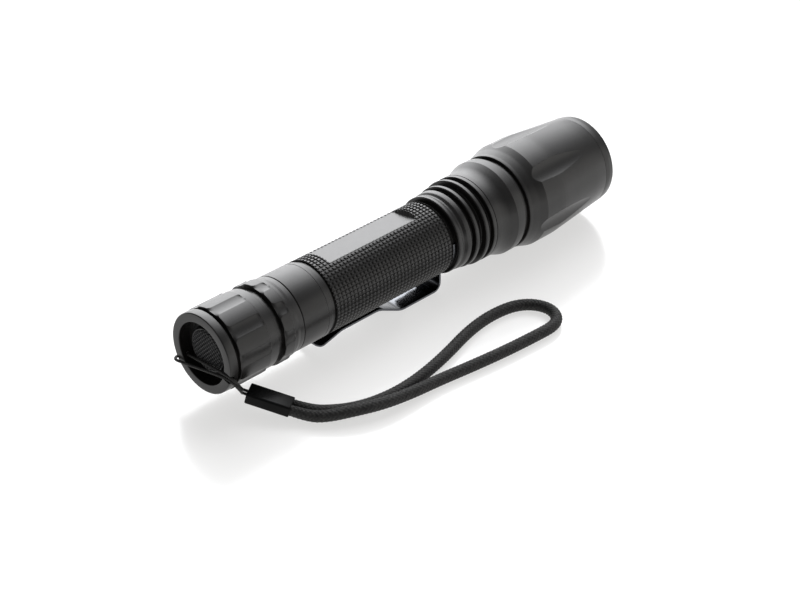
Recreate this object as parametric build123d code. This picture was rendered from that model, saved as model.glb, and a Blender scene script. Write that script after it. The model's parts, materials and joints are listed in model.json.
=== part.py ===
"""Tactical flashlight with a sliding zoom head, belt clip and wrist lanyard.

Millimetres. The torch lies along X with its head towards +X. The origin is on the surface it
rests on, below the middle of its length. Stations are measured along X from the tail face,
and angles go round the torch's axis from +Y (0) over the top (90) to -Y (180).
"""
from build123d import *
import math
import os

os.makedirs("parts", exist_ok=True)

# Driving dimensions
LENGTH = 218.0
HEAD_R = 23.1  # the widest part of the head, which rests on the ground
AXIS_Z = HEAD_R
TAIL_R = 17.0
GRIP_R = 16.0
BORE_R = 13.4  # battery bore for two C cells
CELL_R = 13.1
CELL_LENGTH = 50.0
CELL_NUB = 1.5
SPIGOT_R = 14.6  # rear spigot that the tail cap fits over
RUNNING_FIT = 0.05
APERTURE_R = 12.9
BOOT_R = 9.2
BOOT_GAP = 0.4
SLEEVE_R = 19.6
LENS_R = 18.2
LENS_CLEAR_R = 16.4
LENS_FLANGE = 2.4
LENS_RISE = 9.5

# Stations from the tail face
CAP_FRONT = 38.2
TUBE_SHOULDER = 38.3
CELLS_REAR = 28.0
TUBE_FRONT = 120.8
TUBE_END = 129.0
NECK_REAR = 123.2
NECK_FRONT = 159.3
PILL_REAR = 140.0
STAR_REAR = 163.0
STAR_FRONT = 164.5
HEAD_REAR = 162.3
HEAD_FRONT = 212.7
LENS_SEAT = 198.6
BEZEL_REAR = 202.4

# Flutes of the tail cap, and scoops of the head
FLUTE_COUNT = 9
FLUTE_FIRST_ANGLE = 15.0
FLUTE_FLOOR_R = 16.5
FLUTE_TOOL_R = 12.0
FLUTE_ENDS = [(5.0, 21.5), (27.2, 33.6)]
CAP_NECK_R = 16.45  # between and in front of the cap's fluted bands
SCOOP_COUNT = 6
SCOOP_FIRST_ANGLE = 14.5
SCOOP_ENDS = [(160.0, 22.6), (204.0, 21.2)]  # stations and radii of each scoop's floor
SCOOP_TOOL_R = 11.5

# Milled flat on top of the grip
FLAT_ENDS = (62.2, 111.0)
FLAT_HEIGHT = 14.0  # from the axis
FLAT_ANGLE = 81.0

# Belt clip
CLIP_WIDTH = 14.1
CLIP_THICKNESS = 0.9
CLIP_GROOVE_R = 14.4
CLIP_BAND_R = 15.3
CLIP_BAND_REAR = 121.1
CLIP_TAB = (122.0, 123.0)
CLIP_SPLIT_Z = 4.3
CLIP_BAND_TOP = 2.6  # the band's open ends, above the torch's axis

# Lanyard
HOLE_ANGLE = 331.0
HOLE_STATION = 2.7
HOLE_R = 1.25
NOTCH_ANGLE = 195.75
NOTCH_WIDTH = 3.8
NOTCH_DEPTH = 2.3
THIN_CORD_D = 1.2
CORD_D = 4.9
CRIMP_SIZE = (8.2, 4.8)
CRIMP_REAR = (8.46, -15.93, 9.0)
CRIMP_FRONT = (17.53, -30.18, 4.9)
CORD_SPREAD = 2.6  # each cord end from the middle of the crimp
THIN_SPREAD = 1.0
THIN_LEAD = 2.2


def place(station, y, z):
    """A point in the part's frame, from its station and its true Y and Z."""
    return Vector(station - LENGTH / 2, y, z)


def around(station, radius, angle):
    """A point in the part's frame, from its place round the torch's axis."""
    turn = math.radians(angle)
    return place(station, radius * math.cos(turn), AXIS_Z + radius * math.sin(turn))


def turned(*outline):
    """A turned piece. Each corner is (station, radius) or (station, radius, rounding)."""
    corners = [(c[0] - LENGTH / 2, 0, c[1]) for c in outline]
    rounding = [c[2] if len(c) > 2 else 0 for c in outline]
    edge = FilletPolyline(*corners, radius=rounding, close=True)
    return Pos(0, 0, AXIS_Z) * revolve(make_face(edge), axis=Axis.X)


def ring(start, end, inner, outer):
    return turned((start, inner), (start, outer), (end, outer), (end, inner))


def rod(start, end, radius, centre_r=0.0, angle=0.0):
    """A cylinder along X whose centre line is centre_r from the axis."""
    middle = around((start + end) / 2, centre_r, angle)
    return Pos(*middle) * Rot(0, 90, 0) * Cylinder(radius, end - start)


def radial_hole(station, angle, radius, inner, outer):
    """A cylinder that stands out from the axis at an angle."""
    foot = around(station, inner, angle)
    plane = Plane(origin=foot, z_dir=around(station, outer, angle) - foot)
    return plane * Cylinder(radius, outer - inner, align=(Align.CENTER, Align.CENTER, Align.MIN))


def o_ring(station, centre_r, section_r):
    middle = place(station, 0, AXIS_Z)
    return Pos(*middle) * Rot(0, 90, 0) * Torus(centre_r, section_r)


# Tail cap and switch


def tail_cap():
    cap = turned(
        (0, APERTURE_R, 0.3), (0, 16.4), (0.35, 16.65), (3.8, 16.75), (3.8, 15.4),
        (5.35, 15.4), (5.35, TAIL_R, 0.3), (20.3, TAIL_R), (20.75, CAP_NECK_R),
        (24.55, CAP_NECK_R, 0.2), (24.55, 15.4), (27.65, 15.4), (27.65, TAIL_R, 0.3),
        (32.5, TAIL_R), (32.95, CAP_NECK_R), (34.4, CAP_NECK_R, 0.5), (35.9, 16.05),
        (CAP_FRONT, 16.05), (CAP_FRONT, SPIGOT_R + RUNNING_FIT),
        (20.2, SPIGOT_R + RUNNING_FIT), (20.2, 13.45), (7.0, 13.45), (7.0, BOOT_R + BOOT_GAP),
        (5.5, BOOT_R + BOOT_GAP), (5.5, APERTURE_R),
    )
    for start, end in FLUTE_ENDS:
        for i in range(FLUTE_COUNT):
            angle = FLUTE_FIRST_ANGLE + i * 360 / FLUTE_COUNT
            cap -= rod(start, end, FLUTE_TOOL_R, FLUTE_FLOOR_R + FLUTE_TOOL_R, angle)
    cap -= radial_hole(HOLE_STATION, HOLE_ANGLE, HOLE_R, 11.5, 18.5)
    slot_r = NOTCH_WIDTH / 2
    cap -= radial_hole(NOTCH_DEPTH - slot_r, NOTCH_ANGLE, slot_r, 11.5, 18.5)
    middle = around((NOTCH_DEPTH - slot_r - 1) / 2, 15.0, NOTCH_ANGLE)
    mouth = Box(NOTCH_DEPTH - slot_r + 1, 7.0, NOTCH_WIDTH)
    cap -= Pos(*middle) * Rot(NOTCH_ANGLE, 0, 0) * mouth
    return cap


def switch_boot():
    return turned(
        (2.3, 0), (2.5, 5.5, 12), (3.2, BOOT_R, 1.2), (7.9, BOOT_R), (7.9, 0),
    )


def boot_skirt():
    return ring(7.0, 8.35, BOOT_R + BOOT_GAP, 13.4)


def switch_plunger():
    return rod(7.9, 12.4, 2.5)


def switch_body():
    return turned(
        (8.35, 9.7), (8.35, 13.3), (16.0, 13.3), (16.0, 0), (15.2, 0), (15.2, 2.6),
        (10.1, 2.6), (10.1, 9.7),
    )


def switch_board():
    return rod(16.0, 17.2, 13.3)


def switch_retaining_ring():
    piece = ring(17.2, 20.0, 8.6, 13.42)
    for angle in (0, 180):
        piece -= rod(18.6, 20.5, 0.8, 11.0, angle)
    return piece


def tail_spring():
    wire_r = 0.5
    coil_r = 5.0
    start = 17.2 + wire_r
    height = CELLS_REAR - 0.05 - wire_r - start
    path = Helix(height / 4.5, height, coil_r, center=place(start, 0, AXIS_Z), direction=(1, 0, 0))
    section = Plane(origin=path @ 0, z_dir=path % 0) * Circle(wire_r)
    return sweep(section, path=path, is_frenet=True)


# Battery tube


def battery_tube():
    tube = turned(
        (22.5, BORE_R), (22.5, SPIGOT_R, 0.2), (36.5, SPIGOT_R), (36.5, 14.0), (37.1, 14.0),
        (37.1, SPIGOT_R), (TUBE_SHOULDER, SPIGOT_R), (TUBE_SHOULDER, 16.03),
        (53.0, 16.03, 0.2), (53.0, 15.4), (55.1, 15.4), (55.1, GRIP_R, 0.2),
        (TUBE_FRONT, GRIP_R, 0.2), (TUBE_FRONT, CLIP_GROOVE_R), (NECK_REAR, CLIP_GROOVE_R),
        (NECK_REAR, 14.9), (TUBE_END, 14.9, 0.2), (TUBE_END, BORE_R),
    )
    start, end = FLAT_ENDS
    middle = around((start + end) / 2, FLAT_HEIGHT, FLAT_ANGLE)
    cutter = Box(end - start, 2 * GRIP_R, 3, align=(Align.CENTER, Align.CENTER, Align.MIN))
    return tube - Pos(*middle) * Rot(FLAT_ANGLE - 90, 0, 0) * cutter


def tail_o_ring():
    return o_ring(36.8, 14.3, 0.3)


def cell_can(index):
    start = CELLS_REAR + index * CELL_LENGTH
    end = start + CELL_LENGTH - CELL_NUB
    return turned((start, 0), (start, CELL_R, 0.8), (end, CELL_R, 0.8), (end, 0))


def cell_terminal(index):
    end = CELLS_REAR + (index + 1) * CELL_LENGTH
    return turned((end - CELL_NUB, 0), (end - CELL_NUB, 3.3), (end, 3.3, 0.4), (end, 0))


# Belt clip


def clip_band():
    """The open band that snaps into the groove in front of the grip, with the arm's root."""
    band = ring(CLIP_BAND_REAR, CLIP_TAB[1], CLIP_GROOVE_R + 0.08, CLIP_BAND_R)
    opening = Box(8, 4 * GRIP_R, 2 * GRIP_R, align=(Align.CENTER, Align.CENTER, Align.MIN))
    band -= Pos(*place(CLIP_TAB[0], 0, AXIS_Z + CLIP_BAND_TOP)) * opening
    low = CLIP_SPLIT_Z
    high = AXIS_Z - CLIP_BAND_R + 0.3
    middle = place(sum(CLIP_TAB) / 2, 0, (low + high) / 2)
    tab = Pos(*middle) * Box(CLIP_TAB[1] - CLIP_TAB[0], CLIP_WIDTH, high - low)
    return band + tab


def clip_arm():
    """The spring strip: flat on the ground, kinked up to the grip, and flared at its tip."""
    half = CLIP_THICKNESS / 2
    along = sum(CLIP_TAB) / 2
    route = [
        place(along, 0, CLIP_SPLIT_Z - 0.1), place(along, 0, half), place(99.8, 0, half),
        place(87.0, 0, 6.3), place(66.0, 0, 6.3), place(54.2, 0, 3.3),
    ]
    path = FilletPolyline(*route, radius=[3.4, 9.0, 9.0, 8.0])
    start = Plane(origin=route[0], x_dir=(0, 1, 0), z_dir=(0, 0, -1))
    return sweep(start * Rectangle(CLIP_WIDTH, CLIP_THICKNESS), path=path)


# Finned neck, driver and LED


def finned_neck():
    """A dipped band, two cooling fins and a bell that ends in the sleeve the head slides on."""
    return turned(
        (NECK_REAR, 14.95), (NECK_REAR, 16.95, 0.6), (124.9, 16.95, 1.5), (126.4, 16.3, 1.5),
        (127.9, 17.15, 1.5), (130.4, 17.4, 0.4), (130.4, 15.4), (132.5, 15.4),
        (132.5, 17.95, 0.5), (134.6, 17.95, 0.5), (134.6, 15.9), (137.6, 15.9),
        (137.6, 18.8, 0.5), (139.65, 18.8, 0.5), (139.65, 16.6), (142.2, 16.6),
        (142.2, 18.85, 0.3), (144.1, 18.85), (144.1, 18.65), (144.4, 18.65), (144.4, 18.85),
        (149.5, 18.85, 27), (155.0, 20.9, 0.4), (NECK_FRONT, 20.9, 0.3), (NECK_FRONT, SLEEVE_R),
        (173.2, SLEEVE_R), (173.2, 18.9), (174.4, 18.9), (174.4, SLEEVE_R), (175.6, SLEEVE_R),
        (175.6, 18.6), (177.4, 18.6), (177.4, SLEEVE_R), (179.2, SLEEVE_R, 0.3), (179.2, 17.4),
        (146.0, 17.4), (146.0, 13.6), (129.2, 13.6), (129.2, 14.95),
    )


def front_contact():
    return turned((128.02, 0), (128.02, 3.0, 0.5), (130.5, 3.0), (130.5, 5.0), (133.0, 5.0), (133.0, 0))


def driver_board():
    return rod(133.0, 134.6, 13.5)


def driver_inductor():
    return rod(134.6, 138.2, 3.2, 6.0, 0)


def driver_chip():
    middle = around(135.35, 6.5, 180)
    return Pos(*middle) * Box(1.5, 5.0, 5.0)


LEAD_ANGLES = (90, 270)
LEAD_R = 0.7
LEAD_PLACE_R = 6.5
SCREW_ANGLES = (0, 180)
SCREW_R = 0.7
SCREW_PLACE_R = 7.0


def led_pill():
    pill = turned(
        (PILL_REAR, 0), (PILL_REAR, 13.5, 0.3), (146.0, 13.5), (146.0, 17.3), (151.0, 17.3, 0.4),
        (151.0, 9.8, 0.5), (STAR_REAR, 9.8, 0.3), (STAR_REAR, 0),
    )
    for angle in LEAD_ANGLES:
        pill -= rod(PILL_REAR - 1, STAR_REAR + 1, LEAD_R + 0.25, LEAD_PLACE_R, angle)
    for angle in SCREW_ANGLES:
        pill -= rod(STAR_REAR - 4, STAR_REAR + 1, SCREW_R + 0.02, SCREW_PLACE_R, angle)
    return pill


def led_leads():
    return [rod(134.6, STAR_REAR, LEAD_R, LEAD_PLACE_R, angle) for angle in LEAD_ANGLES]


def led_star_board():
    board = rod(STAR_REAR, STAR_FRONT, 9.5)
    for angle in SCREW_ANGLES:
        board -= rod(STAR_REAR - 1, STAR_FRONT + 1, SCREW_R + 0.05, SCREW_PLACE_R, angle)
    return board


def star_screws():
    screws = []
    for angle in SCREW_ANGLES:
        shank = rod(STAR_REAR - 3.5, STAR_FRONT, SCREW_R, SCREW_PLACE_R, angle)
        screws.append(shank + rod(STAR_FRONT, STAR_FRONT + 1.1, 1.3, SCREW_PLACE_R, angle))
    return screws


def led_package():
    return Pos(*place(STAR_FRONT + 0.45, 0, AXIS_Z)) * Box(0.9, 5.0, 5.0)


def led_dome():
    base = STAR_FRONT + 0.9
    ball = Pos(*place(base, 0, AXIS_Z)) * Sphere(2.0)
    return ball & rod(base, base + 3, 2.5)


def head_stop_ring():
    clip = ring(173.25, 174.35, 18.92, 20.1)
    gap = Box(3, 3, 6)
    return clip - Pos(*around(173.8, 19.5, 90)) * gap


def slide_o_ring():
    return o_ring(176.5, 19.38, 0.76)


# Zoom head


def zoom_head():
    """A flared, scooped shell that slides on the neck's sleeve."""
    head = turned(
        (HEAD_REAR, SLEEVE_R + 0.08), (HEAD_REAR, 20.85, 0.3), (163.9, 21.1, 0.4), (167.6, 22.0, 14),
        (171.2, HEAD_R, 0.4), (182.6, HEAD_R, 40), (HEAD_FRONT, 20.3, 0.1),
        (HEAD_FRONT, LENS_R + 0.1), (LENS_SEAT, LENS_R + 0.1), (LENS_SEAT, LENS_CLEAR_R),
        (196.4, LENS_CLEAR_R), (190.5, 20.2), (164.2, 20.2), (164.2, SLEEVE_R + 0.08),
    )
    for i in range(SCOOP_COUNT):
        head -= scoop_tool(SCOOP_FIRST_ANGLE + i * 360 / SCOOP_COUNT)
    return head


def scoop_tool(angle):
    """A round cutter that goes a little deeper towards the front."""
    rear, front = [around(station, floor_r + SCOOP_TOOL_R, angle) for station, floor_r in SCOOP_ENDS]
    along = front - rear
    upright = (Align.CENTER, Align.CENTER, Align.MIN)
    return Plane(origin=rear, z_dir=along) * Cylinder(SCOOP_TOOL_R, along.length, align=upright)


def lens():
    """A flat back, a thin flange and a domed front that stays inside the bezel."""
    back = LENS_SEAT - LENGTH / 2
    flange = back + LENS_FLANGE
    apex = flange + LENS_RISE
    ball_r = (LENS_CLEAR_R**2 + LENS_RISE**2) / (2 * LENS_RISE)
    slope = math.asin(LENS_CLEAR_R / ball_r) / 2
    between = (apex - ball_r + ball_r * math.cos(slope), 0, ball_r * math.sin(slope))
    straight = Polyline((apex, 0, 0), (back, 0, 0), (back, 0, LENS_R), (flange, 0, LENS_R),
                        (flange, 0, LENS_CLEAR_R))
    dome = ThreePointArc((flange, 0, LENS_CLEAR_R), between, (apex, 0, 0))
    return Pos(0, 0, AXIS_Z) * revolve(make_face([*straight.edges(), dome]), axis=Axis.X)


def lens_gasket():
    return ring(LENS_SEAT + LENS_FLANGE, BEZEL_REAR, LENS_CLEAR_R + 0.1, LENS_R)


def bezel_ring():
    return turned(
        (BEZEL_REAR, 16.6), (BEZEL_REAR, LENS_R + 0.05), (HEAD_FRONT, LENS_R + 0.05),
        (HEAD_FRONT, 20.25, 0.1), (215.2, 20.15, 3), (LENGTH, 19.7, 0.4), (LENGTH, 18.0, 0.3),
        (213.4, 16.6),
    )


# Lanyard

CRIMP_AXIS = (place(*CRIMP_FRONT) - place(*CRIMP_REAR)).normalized()
CRIMP_SIDE = Vector(0, 0, 1).cross(CRIMP_AXIS).normalized()


def cord_end(side):
    return place(*CRIMP_FRONT) + CRIMP_SIDE * CORD_SPREAD * side


def cord_route():
    """Out of the crimp, along the ground, round the loop's far end and back into the crimp."""
    lead = 7.4
    out = [cord_end(1), cord_end(1) + CRIMP_AXIS * lead]
    back = [cord_end(-1) + CRIMP_AXIS * lead, cord_end(-1)]
    ground = [
        (29.2, -40.3), (35.8, -44.6), (44.4, -47.6), (55.8, -49.0), (69.8, -48.0), (86.5, -44.6),
        (102.8, -39.9), (115.6, -37.9), (126.0, -38.2), (133.7, -40.2), (139.0, -44.8),
        (141.0, -51.4), (138.3, -57.8), (132.3, -61.0), (122.5, -60.6), (106.5, -59.4),
        (89.0, -57.6), (72.5, -55.6), (57.5, -55.3), (43.6, -54.1), (32.8, -49.9), (24.3, -43.9),
    ]
    return out + [place(s, y, CORD_D / 2 + 0.05) for s, y in ground] + back


def thin_route():
    """From the crimp through the notch, across the button, round the rim at the hole and back."""
    left = place(*CRIMP_REAR) + CRIMP_SIDE * THIN_SPREAD
    right = place(*CRIMP_REAR) - CRIMP_SIDE * THIN_SPREAD
    return [
        left,
        left - CRIMP_AXIS * THIN_LEAD,
        place(5.8, -15.7, 12.9),
        around(1.2, 18.4, 192.0),
        around(0.8, 14.6, 191.7),
        around(2.2, 11.4, 330.0),
        around(2.7, 15.0, 331.0),
        around(2.7, 18.5, 331.5),
        around(-1.3, 18.5, 331.0),
        around(-1.3, 13.0, 326.0),
        around(0.8, 14.6, 196.8),
        around(1.2, 18.4, 198.0),
        place(4.6, -17.5, 12.2),
        right - CRIMP_AXIS * THIN_LEAD,
        right,
    ]


def bend_radii(route):
    """For each corner, 0.45 of its shorter run divided by the tangent of half the turn."""
    radii = []
    for before, corner, after in zip(route, route[1:], route[2:]):
        first = corner - before
        second = after - corner
        half_turn = math.radians(first.get_angle(second)) / 2
        radii.append(0.45 * min(first.length, second.length) / math.tan(half_turn))
    return radii


def cord_tube(name, route, diameter):
    radii = bend_radii(route)
    path = FilletPolyline(*route, radius=radii)
    section = Plane(origin=path @ 0, z_dir=path % 0) * Circle(diameter / 2)
    tube = sweep(section, path=path)
    expected = math.pi * diameter**2 / 4 * path.length
    print(name, "length", round(path.length, 1), "volume ratio", round(tube.volume / expected, 4))
    print(name, "bend radii in diameters", [round(r / diameter, 1) for r in radii])
    return tube


def lanyard_cord():
    return cord_tube("lanyard_cord", cord_route(), CORD_D)


def lanyard_thin_loop():
    return cord_tube("lanyard_thin_loop", thin_route(), THIN_CORD_D)


def lanyard_crimp():
    length = (place(*CRIMP_FRONT) - place(*CRIMP_REAR)).length
    middle = (place(*CRIMP_FRONT) + place(*CRIMP_REAR)) / 2
    frame = Plane(origin=middle, x_dir=CRIMP_SIDE, z_dir=CRIMP_AXIS)
    block = Box(*CRIMP_SIZE, length)
    block = fillet(block.edges().filter_by(Axis.Z), 1.0)
    return frame * block


def save(name, shape):
    solids = shape if isinstance(shape, list) else [shape]
    export_step(Compound(children=[Part(s.wrapped) for s in solids]), f"parts/{name}.step")


PIECES = {
    "tail_cap": tail_cap(),
    "switch_boot": switch_boot(),
    "boot_skirt": boot_skirt(),
    "switch_plunger": switch_plunger(),
    "switch_body": switch_body(),
    "switch_board": switch_board(),
    "switch_retaining_ring": switch_retaining_ring(),
    "tail_spring": tail_spring(),
    "tail_o_ring": tail_o_ring(),
    "battery_tube": battery_tube(),
    "battery_rear": cell_can(0),
    "battery_rear_terminal": cell_terminal(0),
    "battery_front": cell_can(1),
    "battery_front_terminal": cell_terminal(1),
    "clip_band": clip_band(),
    "clip_arm": clip_arm(),
    "finned_neck": finned_neck(),
    "front_contact": front_contact(),
    "driver_board": driver_board(),
    "driver_inductor": driver_inductor(),
    "driver_chip": driver_chip(),
    "led_pill": led_pill(),
    "led_leads": led_leads(),
    "led_star_board": led_star_board(),
    "star_screws": star_screws(),
    "led_package": led_package(),
    "led_dome": led_dome(),
    "head_stop_ring": head_stop_ring(),
    "slide_o_ring": slide_o_ring(),
    "zoom_head": zoom_head(),
    "lens": lens(),
    "lens_gasket": lens_gasket(),
    "bezel_ring": bezel_ring(),
    "lanyard_thin_loop": lanyard_thin_loop(),
    "lanyard_crimp": lanyard_crimp(),
    "lanyard_cord": lanyard_cord(),
}

for name, piece in PIECES.items():
    save(name, piece)
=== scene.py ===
"""Looks of the tactical flashlight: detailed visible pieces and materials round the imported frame.

The frame is in metres. Outlines here are in millimetres, as the CAD's are: a station is measured
along X from the tail face, a radius from the torch's axis, and an angle goes round the axis from
+Y (0) over the top (90) to -Y (180).
"""
import json
import math

import bmesh
import bpy
import numpy as np
from mathutils import Matrix, Vector


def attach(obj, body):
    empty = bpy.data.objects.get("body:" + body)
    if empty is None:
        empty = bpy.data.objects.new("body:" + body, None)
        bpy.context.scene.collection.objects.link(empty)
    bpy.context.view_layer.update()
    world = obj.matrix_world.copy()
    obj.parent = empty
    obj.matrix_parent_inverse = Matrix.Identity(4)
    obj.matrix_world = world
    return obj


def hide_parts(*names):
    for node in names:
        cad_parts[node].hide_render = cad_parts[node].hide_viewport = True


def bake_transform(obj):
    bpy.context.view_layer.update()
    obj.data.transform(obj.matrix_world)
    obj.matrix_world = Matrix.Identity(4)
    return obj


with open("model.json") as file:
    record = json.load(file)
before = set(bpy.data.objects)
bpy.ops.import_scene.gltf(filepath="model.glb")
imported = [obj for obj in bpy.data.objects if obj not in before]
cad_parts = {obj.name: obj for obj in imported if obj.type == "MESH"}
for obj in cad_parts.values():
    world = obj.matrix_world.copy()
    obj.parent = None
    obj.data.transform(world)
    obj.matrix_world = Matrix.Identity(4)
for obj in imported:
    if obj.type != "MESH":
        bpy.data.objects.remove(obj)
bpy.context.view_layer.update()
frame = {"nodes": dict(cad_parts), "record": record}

MM = 0.001
LENGTH = 218.0
AXIS_Z = 23.1


def place(station, y, z):
    return Vector((station - LENGTH / 2, y, z)) * MM


def around(station, radius, angle):
    turn = math.radians(angle)
    return place(station, radius * math.cos(turn), AXIS_Z + radius * math.sin(turn))


# ---------------------------------------------------------------- camera


def make_camera():
    data = bpy.data.cameras.new("camera")
    data.sensor_width = 36.0
    data.lens = 86.49
    data.clip_start = 0.01
    data.clip_end = 50.0
    camera = bpy.data.objects.new("camera", data)
    bpy.context.scene.collection.objects.link(camera)
    right = Vector((0.7033, -0.7109, 0.0019))
    up = Vector((0.3794, 0.3776, 0.8447))
    back = Vector((-0.6012, -0.5933, 0.5353))
    stand = Vector((-0.4812, -0.4718, 0.4251))
    turn = Matrix((right, up, back)).transposed()
    camera.matrix_world = Matrix.Translation(stand) @ turn.to_4x4()
    bpy.context.scene.camera = camera


make_camera()

# ---------------------------------------------------------------- materials


class Shader:
    """A procedural material: a Principled surface whose inputs may come from texture nodes."""

    def __init__(self, name, **settings):
        self.material = bpy.data.materials.new(name)
        self.material.use_nodes = True
        self.tree = self.material.node_tree
        self.surface = self.tree.nodes["Principled BSDF"]
        self.where = self.tree.nodes.new("ShaderNodeTexCoord").outputs["Object"]
        for socket, value in settings.items():
            self.surface.inputs[socket.replace("_", " ")].default_value = value

    def node(self, kind, settings=(), **inputs):
        made = self.tree.nodes.new(kind)
        for key, value in dict(settings).items():
            setattr(made, key, value)
        for socket, value in inputs.items():
            target = made.inputs[socket.replace("_", " ")]
            if isinstance(value, bpy.types.NodeSocket):
                self.tree.links.new(value, target)
            else:
                target.default_value = value
        return made

    def link(self, output, socket):
        self.tree.links.new(output, self.surface.inputs[socket])

    def stretched(self, scale):
        return self.node("ShaderNodeMapping", Vector=self.where, Scale=scale).outputs["Vector"]

    def noise(self, scale, detail=3.0, where=None):
        made = self.node("ShaderNodeTexNoise", Vector=where or self.where, Scale=scale, Detail=detail)
        return made.outputs["Fac"]

    def tint(self, factor, dark, light):
        """The base colour, between two colours."""
        ramp = self.node("ShaderNodeValToRGB", Fac=factor)
        ramp.color_ramp.elements[0].position = 0.35
        ramp.color_ramp.elements[1].position = 0.65
        ramp.color_ramp.elements[0].color = (*dark, 1)
        ramp.color_ramp.elements[1].color = (*light, 1)
        self.link(ramp.outputs["Color"], "Base Color")
        return ramp

    def gloss(self, factor, low, high):
        made = self.node("ShaderNodeMapRange", Value=factor, To_Min=low, To_Max=high)
        self.link(made.outputs["Result"], "Roughness")

    def bump(self, height, distance, strength=1.0, normal=None):
        made = self.node("ShaderNodeBump", Height=height, Distance=distance, Strength=strength)
        if normal:
            self.tree.links.new(normal, made.inputs["Normal"])
        self.link(made.outputs["Normal"], "Normal")
        return made.outputs["Normal"]


def anodised(name, dark, light, rough_low, rough_high):
    """Black anodised aluminium: blasted grain over faint turning lines."""
    shader = Shader(name, IOR=1.5)
    shader.tint(shader.noise(160.0, 4.0), dark, light)
    shader.gloss(shader.noise(420.0, 3.0), rough_low, rough_high)
    turning = shader.noise(1.0, 2.0, shader.stretched((5200.0, 14.0, 14.0)))
    lined = shader.bump(turning, 0.000004)
    shader.bump(shader.noise(5200.0, 2.0), 0.000012, 0.8, lined)
    return shader.material


def rubber(name, dark, light, rough, grain):
    shader = Shader(name, IOR=1.45)
    shader.tint(shader.noise(300.0), dark, light)
    shader.gloss(shader.noise(900.0), rough - 0.06, rough + 0.06)
    shader.bump(shader.noise(grain, 4.0), 0.00003)
    return shader.material


def bare_metal(name, dark, light, rough_low, rough_high, lines):
    """Bare metal with fine lines along or round it."""
    shader = Shader(name, Metallic=1.0)
    shader.tint(shader.noise(220.0), dark, light)
    streaks = shader.noise(1.0, 3.0, shader.stretched(lines))
    shader.gloss(streaks, rough_low, rough_high)
    shader.bump(streaks, 0.000006)
    return shader.material


def plastic(name, dark, light, rough, grain=2500.0, depth=0.00001, ior=1.48):
    shader = Shader(name, IOR=ior)
    shader.tint(shader.noise(250.0), dark, light)
    shader.gloss(shader.noise(700.0), max(0.02, rough - 0.05), rough + 0.05)
    shader.bump(shader.noise(grain, 3.0), depth)
    return shader.material


def braid_fabric(name, dark, light):
    """Fine filaments over the braid's own shape."""
    shader = Shader(name, IOR=1.45)
    shader.tint(shader.noise(900.0, 4.0), dark, light)
    shader.gloss(shader.noise(2600.0), 0.5, 0.75)
    shader.bump(shader.noise(5200.0, 4.0), 0.00008)
    shader.surface.inputs["Sheen Weight"].default_value = 0.06
    shader.surface.inputs["Sheen Roughness"].default_value = 0.4
    return shader.material


def clear(name, tone, rough):
    shader = Shader(name, IOR=1.49)
    shader.surface.inputs["Transmission Weight"].default_value = 1.0
    shader.tint(shader.noise(90.0), tone, (1.0, 1.0, 1.0))
    shader.gloss(shader.noise(300.0), rough, rough + 0.02)
    return shader.material


CELL_FROM, CELL_LENGTH = 28.0, 50.0
BAND_FROM, BAND_TO = 0.0355, 0.0365


def cell_film():
    """A printed film, the same on each cell: dark, then copper coloured towards the front end."""
    shader = Shader("cell_film", Metallic=0.6)
    along = shader.node("ShaderNodeSeparateXYZ", Vector=shader.where).outputs["X"]
    shift = shader.node("ShaderNodeMath", {"operation": "ADD"}, Value=along)
    shift.inputs[1].default_value = (LENGTH / 2 - CELL_FROM + 2 * CELL_LENGTH) * MM
    local = shader.node("ShaderNodeMath", {"operation": "MODULO"}, Value=shift.outputs[0])
    local.inputs[1].default_value = CELL_LENGTH * MM
    share = shader.node("ShaderNodeMapRange", Value=local.outputs[0], From_Min=BAND_FROM,
                        From_Max=BAND_TO)
    ramp = shader.tint(share.outputs["Result"], (0.012, 0.012, 0.013), (0.42, 0.2, 0.09))
    ramp.color_ramp.elements[0].position = 0.0
    ramp.color_ramp.elements[1].position = 1.0
    shader.gloss(shader.noise(500.0), 0.22, 0.34)
    return shader.material


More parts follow.
